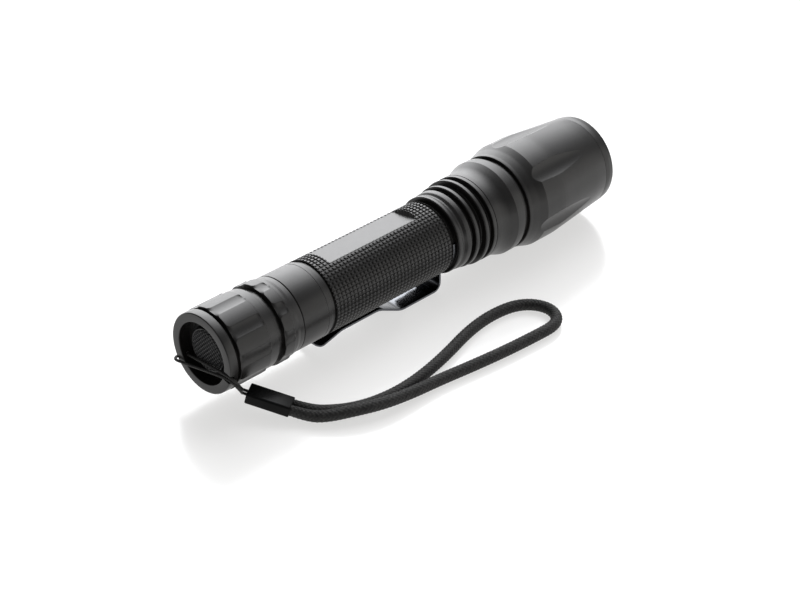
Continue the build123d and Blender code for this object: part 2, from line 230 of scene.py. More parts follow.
METAL_LINES = (60.0, 60.0, 4000.0)
TURNED_LINES = (4000.0, 20.0, 20.0)
BLACK = anodised("black_anodised", (0.0056, 0.0050, 0.0046), (0.0088, 0.0079, 0.0072), 0.27, 0.33)
MATERIALS = {
    "black_anodised_aluminium": BLACK,
    "clip_steel": bare_metal("black_chrome", (0.11, 0.115, 0.125), (0.14, 0.145, 0.157), 0.12, 0.18,
                             (900.0, 60.0, 900.0)),
    "button_rubber": rubber("button_rubber", (0.007, 0.007, 0.0072), (0.013, 0.013, 0.0135), 0.36, 2600.0),
    "seal_rubber": rubber("seal_rubber", (0.006, 0.006, 0.006), (0.009, 0.009, 0.009), 0.42, 1800.0),
    "cord_fabric": braid_fabric("cord_fabric", (0.004, 0.0039, 0.0037), (0.024, 0.0228, 0.0214)),
    "crimp_plastic": plastic("crimp_plastic", (0.004, 0.004, 0.004), (0.006, 0.006, 0.006), 0.3, ior=1.2),
    "lens_glass": clear("lens_glass", (0.97, 0.985, 1.0), 0.0),
    "cell_can": cell_film(),
    "brass_contact": bare_metal("brass_contact", (0.62, 0.42, 0.17), (0.75, 0.55, 0.26), 0.2, 0.34,
                                METAL_LINES),
    "bright_steel": bare_metal("bright_steel", (0.5, 0.5, 0.51), (0.66, 0.66, 0.68), 0.18, 0.3, METAL_LINES),
    "pill_aluminium": bare_metal("pill_aluminium", (0.6, 0.61, 0.63), (0.74, 0.75, 0.77), 0.24, 0.4,
                                 TURNED_LINES),
    "board_laminate": plastic("board_laminate", (0.012, 0.07, 0.03), (0.02, 0.1, 0.045), 0.35, 1500.0,
                              0.00003),
    "star_board": plastic("star_board", (0.66, 0.66, 0.63), (0.78, 0.78, 0.75), 0.4),
    "component_plastic": plastic("component_plastic", (0.015, 0.015, 0.015), (0.03, 0.03, 0.03), 0.5),
    "switch_plastic": plastic("switch_plastic", (0.012, 0.012, 0.013), (0.022, 0.022, 0.023), 0.4),
    "wire_cover": plastic("wire_cover", (0.32, 0.012, 0.01), (0.42, 0.02, 0.016), 0.35),
    "led_phosphor": plastic("led_phosphor", (0.7, 0.52, 0.06), (0.85, 0.68, 0.12), 0.45, 6000.0, 0.00004),
    "led_silicone": clear("led_silicone", (0.96, 0.96, 0.92), 0.03),
}
for row in frame["record"]["subparts"]:
    carried = frame["nodes"][row["node"]]
    carried.data.materials.clear()
    carried.data.materials.append(MATERIALS[row["material_slot"]])

# ---------------------------------------------------------------- mesh tools


MERGE_DISTANCE = 1e-7
BOX_CORNERS = ((1, 1, 0), (-1, 1, 90), (-1, -1, 180), (1, -1, 270))


def plain_mesh(name, points, faces, merge=False):
    """An object with no looks yet. merge joins the points that lie on one another."""
    mesh = bpy.data.meshes.new(name)
    mesh.from_pydata([tuple(p) for p in points], [], faces)
    work = bmesh.new()
    work.from_mesh(mesh)
    if merge:
        bmesh.ops.remove_doubles(work, verts=work.verts, dist=MERGE_DISTANCE)
    bmesh.ops.recalc_face_normals(work, faces=work.faces)
    work.to_mesh(mesh)
    work.free()
    made = bpy.data.objects.new(name, mesh)
    bpy.context.scene.collection.objects.link(made)
    return made


def new_piece(name, points, faces, body, slot, stands_for=(), sharp=32.0):
    """A smooth-shaded piece with crisp edges, that rides on a body and stands for CAD nodes."""
    piece = plain_mesh(name, points, faces, merge=True)
    finish_piece(piece, body, slot, stands_for, sharp)
    return piece


def finish_piece(piece, body, slot, stands_for, sharp):
    piece.data.materials.clear()
    piece.data.materials.append(MATERIALS[slot])
    piece.data.polygons.foreach_set("use_smooth", [True] * len(piece.data.polygons))
    piece.data.set_sharp_from_angle(angle=math.radians(sharp))
    if body:
        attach(piece, body)
    if stands_for:
        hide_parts(*stands_for)


def rounded(outline, closed=True):
    """The outline's points, with an arc at each corner that gives a rounding as a third number."""
    made = []
    count = len(outline)
    for i, corner in enumerate(outline):
        here = np.array(corner[:2], float)
        rounding = corner[2] if len(corner) > 2 else 0.0
        if rounding <= 0 or (not closed and i in (0, count - 1)):
            made.append(here)
            continue
        before = np.array(outline[i - 1][:2], float) - here
        after = np.array(outline[(i + 1) % count][:2], float) - here
        run_in, run_out = np.linalg.norm(before), np.linalg.norm(after)
        before, after = before / run_in, after / run_out
        half = math.acos(max(-1.0, min(1.0, float(before @ after)))) / 2
        reach = min(rounding / math.tan(half), 0.48 * min(run_in, run_out))
        radius = reach * math.tan(half)
        middle = here + (before + after) / np.linalg.norm(before + after) * (radius / math.sin(half))
        start = here + before * reach - middle
        turn = math.pi - 2 * half
        steps = max(2, round(math.degrees(turn) / 15))
        side = math.copysign(1, start[0] * (here - middle)[1] - start[1] * (here - middle)[0])
        for k in range(steps + 1):
            a = side * turn * k / steps
            cos, sin = math.cos(a), math.sin(a)
            made.append(middle + (start[0] * cos - start[1] * sin, start[0] * sin + start[1] * cos))
    return made


def with_stations(points, stations, above):
    """The closed outline with more points at those stations, on its runs that lie above a radius."""
    made = []
    for here, after in zip(points, points[1:] + points[:1]):
        made.append(here)
        if min(here[1], after[1]) < above:
            continue
        low, high = sorted((here[0], after[0]))
        between = [s for s in stations if low + 0.02 < s < high - 0.02]
        for s in sorted(between, reverse=here[0] > after[0]):
            made.append(here + (after - here) * ((s - here[0]) / (after[0] - here[0])))
    return made


def turned(name, outline, body, slot, stands_for=(), angles=192, relief=None, sharp=32.0):
    """A piece turned about the torch's axis. relief(station, radius, angle) gives the radius."""
    if isinstance(angles, int):
        angles = np.arange(angles) * 360.0 / angles
    station = np.array([p[0] for p in outline])[:, None]
    radius = np.array([p[1] for p in outline])[:, None]
    degrees = np.asarray(angles, float)[None, :]
    shape = np.broadcast_to(radius, (len(outline), degrees.size))
    if relief:
        shape = relief(station, shape, degrees)
    turn = np.radians(degrees)
    x = np.broadcast_to(station - LENGTH / 2, shape.shape)
    points = np.stack([x, shape * np.cos(turn), AXIS_Z + shape * np.sin(turn)], -1) * MM
    rows, columns = shape.shape
    faces = grid_faces(rows, columns, True, True)
    return new_piece(name, points.reshape(-1, 3), faces, body, slot, stands_for, sharp)


def grid_faces(rows, columns, wrap_rows, wrap_columns):
    faces = []
    for i in range(rows if wrap_rows else rows - 1):
        low, high = i * columns, (i + 1) % rows * columns
        for j in range(columns if wrap_columns else columns - 1):
            k = (j + 1) % columns
            faces.append((low + j, low + k, high + k, high + j))
    return faces


def cut(piece, *cutters):
    """Takes the cutters' shapes out of a piece, for good."""
    for cutter in cutters:
        step = piece.modifiers.new("cut", "BOOLEAN")
        step.operation = "DIFFERENCE"
        step.solver = "EXACT"
        step.object = cutter
    seen = piece.evaluated_get(bpy.context.evaluated_depsgraph_get())
    mesh = bpy.data.meshes.new_from_object(seen)
    piece.modifiers.clear()
    piece.data = mesh
    for cutter in cutters:
        bpy.data.objects.remove(cutter)


def swept(points, section):
    """Ring points and faces of a section carried along points, capped at both ends.
    section(share, distance) gives each ring's offsets as (across, up) pairs, in a frame that turns
    with the path as little as it can."""
    path = np.array(points, float)
    tangents = np.gradient(path, axis=0)
    tangents /= np.linalg.norm(tangents, axis=1)[:, None]
    steps = np.linalg.norm(np.diff(path, axis=0), axis=1)
    distance = np.concatenate([[0], np.cumsum(steps)])
    up = np.array([0.0, 0.0, 1.0])
    rings = []
    for i, tangent in enumerate(tangents):
        up = up - tangent * (up @ tangent)
        up /= np.linalg.norm(up)
        across = np.cross(tangent, up)
        offsets = np.asarray(section(distance[i] / distance[-1], distance[i]))
        rings.append(path[i] + offsets[:, :1] * across + offsets[:, 1:] * up)
    count = len(rings[0])
    faces = grid_faces(len(rings), count, False, True)
    faces.append(tuple(range(count)))
    last = (len(rings) - 1) * count
    faces.append(tuple(last + k for k in reversed(range(count))))
    return np.concatenate(rings), faces


# ---------------------------------------------------------------- lanyard

CORD_D = 4.9
THIN_D = 1.2
CRIMP_REAR = (8.46, -15.93, 9.0)
CRIMP_FRONT = (17.53, -30.18, 4.9)
CRIMP_AXIS = (place(*CRIMP_FRONT) - place(*CRIMP_REAR)).normalized()
CRIMP_SIDE = Vector((0, 0, 1)).cross(CRIMP_AXIS).normalized()


def spline_line(name, route, spacing):
    """Evenly spaced points of the smooth NURBS line that has the route as its control points."""
    data = bpy.data.curves.new(name, "CURVE")
    data.dimensions = "3D"
    spline = data.splines.new("NURBS")
    spline.points.add(len(route) - 1)
    for point, where in zip(spline.points, route):
        point.co = (*where, 1.0)
    spline.order_u = 3
    spline.use_endpoint_u = True
    data.resolution_u = 16
    holder = bpy.data.objects.new(name, data)
    bpy.context.scene.collection.objects.link(holder)
    mesh = bpy.data.meshes.new_from_object(holder)
    line = np.array([v.co for v in mesh.vertices])
    bpy.data.objects.remove(holder)
    bpy.data.meshes.remove(mesh)
    steps = np.linalg.norm(np.diff(line, axis=0), axis=1)
    along = np.concatenate([[0], np.cumsum(steps)])
    wanted = np.linspace(0, along[-1], max(8, round(along[-1] / spacing)))
    return np.stack([np.interp(wanted, along, line[:, k]) for k in range(3)], 1), along[-1]


def cord_route():
    """Out of the crimp, along the ground and round the far end. The way back lies partly on top."""
    left = place(*CRIMP_FRONT) + CRIMP_SIDE * (1.9 * MM)
    right = place(*CRIMP_FRONT) - CRIMP_SIDE * (1.9 * MM)
    lead = CRIMP_AXIS * (7.4 * MM)
    ground = [
        (29.2, -40.3), (35.8, -44.6), (44.4, -47.6), (55.8, -49.0), (69.8, -48.0), (86.5, -44.6),
        (102.8, -39.9), (115.6, -37.9), (126.0, -38.2), (133.7, -40.2), (139.0, -44.8),
        (141.0, -51.4), (138.3, -57.8), (132.3, -61.0), (122.5, -60.6), (106.5, -59.4),
        (89.0, -57.2), (72.5, -54.6), (57.5, -54.0, 1.0), (43.6, -52.5, 2.2), (32.8, -48.0, 2.2),
        (24.3, -42.6, 1.2),
    ]
    laid_out = [place(s, y, CORD_D / 2 + 0.05 + sum(rise)) for s, y, *rise in ground]
    return [left, left + lead] + laid_out + [right + lead, right]


def braided(radius, ridge, count, pitch, squeeze=None):
    """A cord's section: pillows where the braid's two sets of strands cross."""
    columns = count * 7
    turn = np.arange(columns) * 2 * math.pi / columns

    def section(share, distance):
        a = count * turn / (2 * math.pi) + distance / pitch
        b = count * turn / (2 * math.pi) - distance / pitch
        pillow = np.sqrt(np.abs(np.sin(math.pi * a) * np.sin(math.pi * b)))
        lean = 0.25 * np.sin(math.pi * (np.floor(a) + np.floor(b))) + 1.0
        reach = radius - ridge + ridge * pillow * lean
        across, up = squeeze(share, distance) if squeeze else (1.0, 1.0)
        return np.stack([reach * np.cos(turn) * across, reach * np.sin(turn) * up], 1)

    return section


def wrist_cord():
    route = cord_route()
    line, length = spline_line("cord_line", route, 0.21 * MM)

    def squeeze(share, distance):
        """Flattened beside its other end where the crimp holds both."""
        near = min(distance, length - distance)
        held = max(0.0, 1.0 - near / (16.0 * MM))
        return 1.0 - 0.3 * held * held, 1.0 - 0.04 * held

    section = braided(CORD_D / 2 * MM, 0.28 * MM, 9, 1.7 * MM, squeeze)
    points, faces = swept(line, section)
    piece = new_piece("wrist_cord", points, faces, "tail", "cord_fabric", ["lanyard_cord"], 60.0)
    return piece, line, length, route[0]


def thin_route():
    """From the crimp through the notch, across the button, round the rim at the hole and back."""
    left = place(*CRIMP_REAR) + CRIMP_SIDE * MM
    right = place(*CRIMP_REAR) - CRIMP_SIDE * MM
    lead = CRIMP_AXIS * (2.2 * MM)
    return [
        left, left - lead, place(5.8, -15.7, 12.0), around(1.2, 18.4, 194.4), around(0.8, 14.6, 194.2),
        around(2.2, 11.8, 328.0), around(2.7, 15.0, 331.0), around(2.7, 17.75, 331.5),
        around(-1.3, 17.75, 330.0), around(-1.2, 13.4, 322.0), around(0.8, 14.6, 199.2),
        around(1.2, 18.4, 199.6), place(4.6, -17.5, 11.6), right - lead, right,
    ]


def laid(radius, ridge, strands, pitch):
    """A thin twisted cord's section."""
    turn = np.arange(20) * math.pi / 10

    def section(share, distance):
        twist = turn * strands / 2 + math.pi * distance / pitch
        reach = radius - ridge + ridge * np.abs(np.cos(twist))
        return np.stack([reach * np.cos(turn), reach * np.sin(turn)], 1)

    return section


def thin_loop():
    route = thin_route()
    line, length = spline_line("thin_line", route, 0.15 * MM)
    points, faces = swept(line, laid(THIN_D / 2 * MM, 0.13 * MM, 4, 1.3 * MM))
    piece = new_piece("thin_loop", points, faces, "tail", "cord_fabric", ["lanyard_thin_loop"], 60.0)
    return piece, line, length, route[0]


def crimp():
    """A pressed sleeve that holds the thin loop's ends and the cord's ends."""
    wide, high, corner = 8.2 * MM, 4.8 * MM, 1.0 * MM
    long = (place(*CRIMP_FRONT) - place(*CRIMP_REAR)).length
    outline = []
    for sx, sy, first in BOX_CORNERS:
        for k in range(7):
            a = math.radians(first + 15 * k)
            outline.append((sx * (wide / 2 - corner), sy * (high / 2 - corner), math.cos(a), math.sin(a)))
    bevel = 0.35 * MM
    rings = []
    for depth, inset in ((0.0, bevel), (0.1 * MM, 0.15 * MM), (bevel, 0.0), (long - bevel, 0.0),
                         (long - 0.1 * MM, 0.12 * MM), (long, 0.3 * MM)):
        ring = []
        for cx, cy, dx, dy in outline:
            ring.append(place(*CRIMP_REAR) + CRIMP_AXIS * depth
                        + CRIMP_SIDE * (cx + dx * (corner - inset))
                        + CRIMP_SIDE.cross(CRIMP_AXIS) * -(cy + dy * (corner - inset)))
        rings.append(ring)
    count = len(outline)
    faces = grid_faces(len(rings), count, False, True)
    faces.append(tuple(range(count)))
    faces.append(tuple((len(rings) - 1) * count + k for k in range(count)))
    points = [p for ring in rings for p in ring]
    return new_piece("crimp_sleeve", points, faces, "tail", "crimp_plastic", ["lanyard_crimp"])


sleeve = crimp()
cord, cord_line, cord_length, cord_exit = wrist_cord()
loop, loop_line, loop_length, loop_exit = thin_loop()

# ---------------------------------------------------------------- grip

KNURL_FROM, KNURL_TO = 55.24, 120.09
KNURL_ROWS = 33
KNURL_COLUMNS = 57
KNURL_FIRST_ANGLE = 1.07
KNURL_PITCH = (KNURL_TO - KNURL_FROM) / KNURL_ROWS
GROOVE_TOP, GROOVE_FLOOR, GROOVE_DEPTH = 0.5, 0.16, 0.5
TOOTH_CROWN, KNURL_LAND_R = 0.12, 15.7
FLAT_FROM, FLAT_TO, FLAT_HEIGHT, FLAT_ANGLE = 62.2, 111.0, 14.0, 81.0
FLAT_RUN_OUT, FLAT_RISE, FLAT_LAND_R = 0.9, 2.0, 15.3
THREAD_FROM, THREAD_TO, THREAD_R, THREAD_PITCH, THREAD_DEPTH = 24.0, 35.5, 14.6, 1.25, 0.45
TOOTH_MARKS = (0.0, GROOVE_FLOOR, GROOVE_TOP, KNURL_PITCH / 2, KNURL_PITCH - GROOVE_TOP,
               KNURL_PITCH - GROOVE_FLOOR)


def groove_depth(offset):
    """How deep the knurl is at a distance along its pitch: a groove, then a slightly crowned tooth."""
    near = np.minimum(offset % KNURL_PITCH, KNURL_PITCH - offset % KNURL_PITCH)
    wall = GROOVE_DEPTH * np.clip((GROOVE_TOP - near) / (GROOVE_TOP - GROOVE_FLOOR), 0, 1)
    return wall + TOOTH_CROWN * np.clip((KNURL_PITCH / 2 - near) / (KNURL_PITCH / 2 - GROOVE_TOP), 0, 1)


def thread(station, degrees):
    """How deep the thread is at a point, as a share of its depth."""
    phase = (station / THREAD_PITCH + degrees / 360.0) % 1.0
    return np.clip(1.6 * np.abs(2 * phase - 1) - 0.3, 0, 1)


def grip_relief(station, radius, degrees):
    """The knurl, the milled flat with its sloping front end, and the rear thread."""
    arc = (degrees - KNURL_FIRST_ANGLE) / 360.0 * KNURL_COLUMNS * KNURL_PITCH
    depth = np.maximum(groove_depth(station - KNURL_FROM), groove_depth(arc))
    knurled = (station > KNURL_FROM - 0.02) & (station < KNURL_TO + GROOVE_TOP)
    knurled = knurled & (radius > KNURL_LAND_R)
    shape = np.where(knurled, radius - depth, radius)
    facing = np.cos(np.radians(degrees - FLAT_ANGLE))
    run_out = np.clip((station - FLAT_TO + FLAT_RUN_OUT / 2) / FLAT_RUN_OUT, 0, 1)
    height = FLAT_HEIGHT + FLAT_RISE * run_out
    plane = np.where(facing > 0.3, height / np.maximum(facing, 0.3), 99.0)
    milled = (station > FLAT_FROM) & (station < FLAT_TO + FLAT_RUN_OUT) & (radius > FLAT_LAND_R)
    shape = np.where(milled, np.minimum(shape, plane), shape)
    threaded = (station > THREAD_FROM) & (station < THREAD_TO) & (abs(radius - THREAD_R) < 0.01)
    return np.where(threaded, radius - THREAD_DEPTH * thread(station, degrees), shape)


def grip():
    outline = rounded([
        (22.5, 13.4), (22.5, 14.6, 0.3), (36.5, 14.6), (36.5, 14.0), (37.1, 14.0), (37.1, 14.6),
        (38.35, 14.6), (38.35, 16.03, 0.3), (50.7, 16.03), (50.8, 15.93), (51.0, 15.93), (51.1, 16.03),
        (53.0, 16.03, 0.3), (53.0, 15.4), (55.1, 15.4), (55.1, 16.0), (120.8, 16.0, 0.25),
        (120.8, 14.4), (123.2, 14.4), (123.2, 14.9), (129.0, 14.9, 0.3), (129.0, 13.4),
    ])
    marks = [KNURL_FROM + KNURL_PITCH * i + mark for i in range(KNURL_ROWS) for mark in TOOTH_MARKS]
    marks += [KNURL_TO, KNURL_TO + GROOVE_FLOOR, KNURL_TO + GROOVE_TOP]
    marks += [FLAT_FROM - 0.03, FLAT_FROM + 0.03, FLAT_TO - FLAT_RUN_OUT / 2, FLAT_TO + FLAT_RUN_OUT / 2]
    outline = with_stations(outline, marks, 15.9)
    outline = with_stations(outline, np.arange(23.0, 36.3, 0.2), 14.59)
    angles = [KNURL_FIRST_ANGLE + (i + mark / KNURL_PITCH) * 360 / KNURL_COLUMNS
              for i in range(KNURL_COLUMNS) for mark in TOOTH_MARKS]
    turned("grip", outline, "torch", "black_anodised_aluminium", ["battery_tube"], angles, grip_relief, 25.0)


grip()

# ---------------------------------------------------------------- tail cap and button

FLUTES = 9
FLUTE_FIRST = 15.0
FLUTE_FLOOR_R, FLUTE_TOOL_R, FLUTE_LAND_R = 16.46, 10.0, 16.47
FLUTE_RUNS = ((5.35, 20.75), (27.65, 32.95))
FLUTE_CORNER, FLUTE_FLARE = 2.0, 6.0
HOLE_STATION, HOLE_R, HOLE_ANGLE = 2.7, 0.8, 331.0
NOTCH_DEPTH, NOTCH_HALF_WIDTH, NOTCH_ANGLE = 2.3, 1.9, 195.75
RIM_CUT_INNER, RIM_CUT_OUTER = 11.5, 18.5


def scooped(radius, offset, floor_r, tool_r):
    """The radius that a round cutter along the axis leaves, at an angle from its own."""
    centre = floor_r + tool_r
    across = np.radians(offset)
    inside = tool_r**2 - (centre * np.sin(across)) ** 2
    floor = centre * np.cos(across) - np.sqrt(np.maximum(inside, 0))
    return np.where(inside > 0, np.minimum(radius, floor), radius)


def nearest_offset(degrees, first, count):
    """The angle from the nearest of count equal divisions, the first of which is at first."""
    step = 360.0 / count
    return (degrees - first + step / 2) % step - step / 2


def flute_corner(share):
    """How many degrees a flute's edge has moved, at a share of its rounded corner's length."""
    return FLUTE_FLARE * (1 - np.sqrt(1 - 0.999 * share**2))


def cap_relief(station, radius, degrees):
    """Shallow flutes that open out at their rear ends and close with round corners at the front."""
    offset = np.abs(nearest_offset(degrees, FLUTE_FIRST, FLUTES))
    shape = radius
    for start, end in FLUTE_RUNS:
        opening = np.clip((start + FLUTE_CORNER - station) / FLUTE_CORNER, 0, 1)
        closing = np.clip((station - end + FLUTE_CORNER) / FLUTE_CORNER, 0, 1)
        eased = np.maximum(offset - flute_corner(opening) + flute_corner(closing), 0)
        fluted = (station > start - 0.01) & (station < end) & (radius > FLUTE_LAND_R)
        shape = np.where(fluted, scooped(shape, eased, FLUTE_FLOOR_R, FLUTE_TOOL_R), shape)
    return shape


def radial_cutter(name, angle, inner, outer, section):
    """A cutter that stands out from the axis. section gives (station, sideways) points."""
    turn = math.radians(angle)
    out = Vector((0, math.cos(turn), math.sin(turn)))
    side = Vector((0, -math.sin(turn), math.cos(turn)))
    points = []
    for radius in (inner, outer):
        for station, across in section:
            points.append(place(station, 0, AXIS_Z) + (out * radius + side * across) * MM)
    count = len(section)
    faces = grid_faces(2, count, False, True)
    faces += [tuple(range(count)), tuple(range(count, 2 * count))]
    return plain_mesh(name, points, faces)


def hole_cutter():
    """The round hole through the rim that holds the thin loop."""
    turns = np.arange(24) * math.pi / 12
    section = [(HOLE_STATION + HOLE_R * math.cos(a), HOLE_R * math.sin(a)) for a in turns]
    return radial_cutter("bore", HOLE_ANGLE, RIM_CUT_INNER, RIM_CUT_OUTER, section)


def notch_cutter():
    """The round-bottomed notch in the rim's edge that lets the thin loop out."""
    half = NOTCH_HALF_WIDTH
    turns = np.linspace(-math.pi / 2, math.pi / 2, 13)
    section = [(NOTCH_DEPTH - half + half * math.cos(a), half * math.sin(a)) for a in turns]
    section += [(-1.0, half), (-1.0, -half)]
    return radial_cutter("slot", NOTCH_ANGLE, RIM_CUT_INNER, RIM_CUT_OUTER, section)


def tail_cap():
    outline = rounded([
        (0, 12.9, 0.3), (0, 16.4, 0.1), (0.35, 16.65, 0.1), (3.8, 16.75, 0.2), (3.8, 15.3), (5.35, 15.3),
        (5.35, 17.0, 0.2), (20.3, 17.0, 0.15), (20.75, 16.45, 0.1), (24.55, 16.45, 0.2), (24.55, 15.2),
        (27.65, 15.2), (27.65, 17.0, 0.2), (32.5, 17.0, 0.15), (32.95, 16.45, 0.1), (34.4, 16.45, 0.5),
        (35.9, 16.05, 0.3), (38.15, 16.05, 0.3), (38.15, 14.65), (20.2, 14.65), (20.2, 13.45),
        (7.0, 13.45), (7.0, 9.6, 0.2), (5.5, 9.6, 0.2), (5.5, 12.9),
    ])
    marks = []
    for start, end in FLUTE_RUNS:
        marks += [start + step for step in (0.25, 0.35, 0.5, 0.7, 0.95, 1.25, 1.6, 2.0)]
        marks += [end - step for step in (2.0, 1.6, 1.3, 1.0, 0.8, 0.6)]
    outline = with_stations(outline, marks, 16.5)
    in_flute = np.arange(-15.3, 15.4, 0.45)
    between = np.arange(16.6, 24.0, 2.0)
    sector = np.concatenate([in_flute, between])
    turns = [(FLUTE_FIRST + i * 360.0 / FLUTES + sector) % 360.0 for i in range(FLUTES)]
    angles = np.sort(np.concatenate(turns))
    slot = "black_anodised_aluminium"
    piece = turned("fluted_tail_cap", outline, None, slot, (), angles, cap_relief, 16.0)
    cut(piece, hole_cutter(), notch_cutter())
    finish_piece(piece, "tail", slot, ["tail_cap"], 32.0)


DOT_PITCH, DOT_RISE, DOT_SINK, DOTS_R = 1.3, 0.6, 0.1, 8.5
CROWN_STATION, CROWN_FALL, CROWN_R = 2.75, 0.35, 8.6


def mesh_pattern(radius, degrees):
    """Small domes on a square grid that lies at 45 degrees, faded out at the button's rim."""
    across = radius * np.cos(np.radians(degrees))
    up = radius * np.sin(np.radians(degrees))
    u = (across + up) / math.sqrt(2) / DOT_PITCH
    v = (across - up) / math.sqrt(2) / DOT_PITCH
    rise = np.abs(np.sin(math.pi * u)) * np.abs(np.sin(math.pi * v))
    return np.clip(rise * 1.6, 0, 1) * np.clip((DOTS_R - radius) / 0.3, 0, 1)


def button():
    """The rubber boot: a shallow patterned dome, its side, and the lip that lies on the cap's web."""
    angles = np.arange(300) * 1.2
    crown = []
    for radius in np.arange(0, 8.75, 0.125):
        crown.append((CROWN_STATION + CROWN_FALL * (radius / CROWN_R) ** 2, radius, 1))
    side = [
        (3.12, 8.85), (3.3, 9.05), (3.7, 9.18), (4.3, 9.2), (4.75, 9.28), (5.05, 9.5), (5.2, 9.9),
        (5.25, 10.6), (5.3, 11.2), (5.42, 11.35), (5.5, 11.4), (5.5, 10.0), (5.3, 9.58), (7.7, 9.15),
        (7.9, 8.9), (7.9, 0),
    ]
    profile = crown + [(station, radius, 0) for station, radius in side]
    station = np.array([p[0] for p in profile])[:, None] * np.ones((1, angles.size))
    radius = np.array([p[1] for p in profile])[:, None] * np.ones((1, angles.size))
    raised = np.array([p[2] for p in profile])[:, None]
    station = station + DOT_SINK * raised - DOT_RISE * raised * mesh_pattern(radius, angles[None, :])
    turn = np.radians(angles)[None, :]
    points = [station - LENGTH / 2, radius * np.cos(turn), AXIS_Z + radius * np.sin(turn)]
    points = (np.stack(points, -1) * MM).reshape(-1, 3)
    faces = grid_faces(len(profile), angles.size, False, True)
    piece = new_piece("button_boot", points, faces, None, "button_rubber", ["switch_boot"], 50.0)
    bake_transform(piece)


tail_cap()
button()

# ---------------------------------------------------------------- neck, head, bezel and lens


def neck():
    outline = rounded([
        (123.2, 14.95), (123.2, 16.95, 0.5), (124.9, 16.95, 1.5), (126.4, 16.3, 1.5), (127.9, 17.15, 1.5),
        (130.4, 17.4, 0.4), (130.4, 15.4, 0.3), (132.5, 15.4, 0.3), (132.5, 17.95, 0.5), (134.6, 17.95, 0.5),
        (134.6, 15.9, 0.3), (137.6, 15.9, 0.3), (137.6, 18.8, 0.5), (139.65, 18.8, 0.5), (139.65, 16.6, 0.3),
        (142.2, 16.6, 0.3), (142.2, 18.85, 0.3), (144.1, 18.85, 0.08), (144.1, 18.6), (144.4, 18.6),
        (144.4, 18.85, 0.05), (149.5, 18.85, 27), (155.0, 20.9, 0.3), (159.3, 20.9, 0.35), (159.3, 19.6),
        (173.2, 19.6), (173.2, 18.9), (174.4, 18.9), (174.4, 19.6), (175.6, 19.6), (175.6, 18.6),
        (177.4, 18.6), (177.4, 19.6), (179.2, 19.6, 0.3), (179.2, 17.4), (146.0, 17.4), (146.0, 13.6),
        (129.2, 13.6), (129.2, 14.95),
    ])
    turned("fin_neck", outline, "torch", "black_anodised_aluminium", ["finned_neck"], 192, None, 12.0)


SCOOPS = 6
SCOOP_FIRST = 14.5
SCOOP_REAR, SCOOP_FRONT = (160.0, 22.6), (204.0, 21.2)
SCOOP_TOOL_R, SCOOP_LAND_R = 11.5, 20.9
SCOOP_RUN = (163.0, 204.0)


def head_relief(station, radius, degrees):
    """Round cuts that go a little deeper towards the front, until the taper runs out of them."""
    offset = nearest_offset(degrees, SCOOP_FIRST, SCOOPS)
    share = (station - SCOOP_REAR[0]) / (SCOOP_FRONT[0] - SCOOP_REAR[0])
    floor_r = SCOOP_REAR[1] + (SCOOP_FRONT[1] - SCOOP_REAR[1]) * share
    cut_radius = scooped(radius, offset, floor_r, SCOOP_TOOL_R)
    in_run = (station > SCOOP_RUN[0]) & (station < SCOOP_RUN[1]) & (radius > SCOOP_LAND_R)
    return np.where(in_run, cut_radius, radius)


def head():
    outline = rounded([
        (162.3, 19.68), (162.3, 20.85, 0.35), (163.9, 21.1, 0.4), (167.6, 22.0, 14), (171.2, 23.1, 0.3),
        (182.6, 23.1, 40), (212.7, 20.3, 0.15), (212.7, 18.3), (198.6, 18.3), (198.6, 16.4),
        (196.4, 16.4), (190.5, 20.2), (164.2, 20.2), (164.2, 19.68),
    ])
    outline = with_stations(outline, np.arange(164.4, 205.0, 0.3), 20.25)
    sector = np.concatenate([np.arange(-11.4, 11.41, 0.5), np.arange(13.0, 48.0, 1.6)])
    turns = [(SCOOP_FIRST + i * 360.0 / SCOOPS + sector) % 360.0 for i in range(SCOOPS)]
    angles = np.sort(np.concatenate(turns))
    turned("scooped_head", outline, "head", "black_anodised_aluminium", ["zoom_head"], angles,
           head_relief, 9.0)


def bezel():
    outline = rounded([
        (202.4, 16.6), (202.4, 18.25), (212.75, 18.25), (212.75, 20.25, 0.15), (215.2, 20.15, 3),
        (218.0, 19.7, 0.5), (218.0, 18.0, 0.4), (213.4, 16.6, 0.3),
    ])
    turned("bezel", outline, "head", "black_anodised_aluminium", ["bezel_ring"])


def lens():
    clear_r, rise, flange = 16.4, 9.5, 201.0
    ball = (clear_r**2 + rise**2) / (2 * rise)
    widest = math.asin(clear_r / ball)
    middle = flange + rise - ball
    turns = np.linspace(widest, 0, 40)
    dome = [(middle + ball * math.cos(a), ball * math.sin(a)) for a in turns]
    outline = [np.array(p, float) for p in [(198.6, 0), (198.6, 18.2), (flange, 18.2)] + dome]
    turned("lens_dome", outline, "head", "lens_glass", ["lens"], 160)


neck()
head()
bezel()
lens()

# ---------------------------------------------------------------- belt clip


CLIP_HALF_WIDTH, CLIP_HALF_THICK, CLIP_EDGE, CLIP_TIP = 7.05 * MM, 0.45 * MM, 0.22 * MM, 2.5 * MM
STRIP_POINTS = 16


def clip_band():
    """Points and faces of the open band that sits in the grip's groove."""
    section = rounded([(121.1, 14.5, 0.1), (121.1, 15.3, 0.25), (123.0, 15.3, 0.25), (123.0, 14.5, 0.1)])
    turns = np.radians(np.linspace(170.2, 369.8, 120))
    points = []
    for s, r in section:
        points += [((s - LENGTH / 2) * MM, r * math.cos(a) * MM, (AXIS_Z + r * math.sin(a)) * MM)
                   for a in turns]
    faces = grid_faces(len(section), len(turns), True, False)
    for column in (0, len(turns) - 1):
        faces.append(tuple(row * len(turns) + column for row in range(len(section))))
    return points, faces


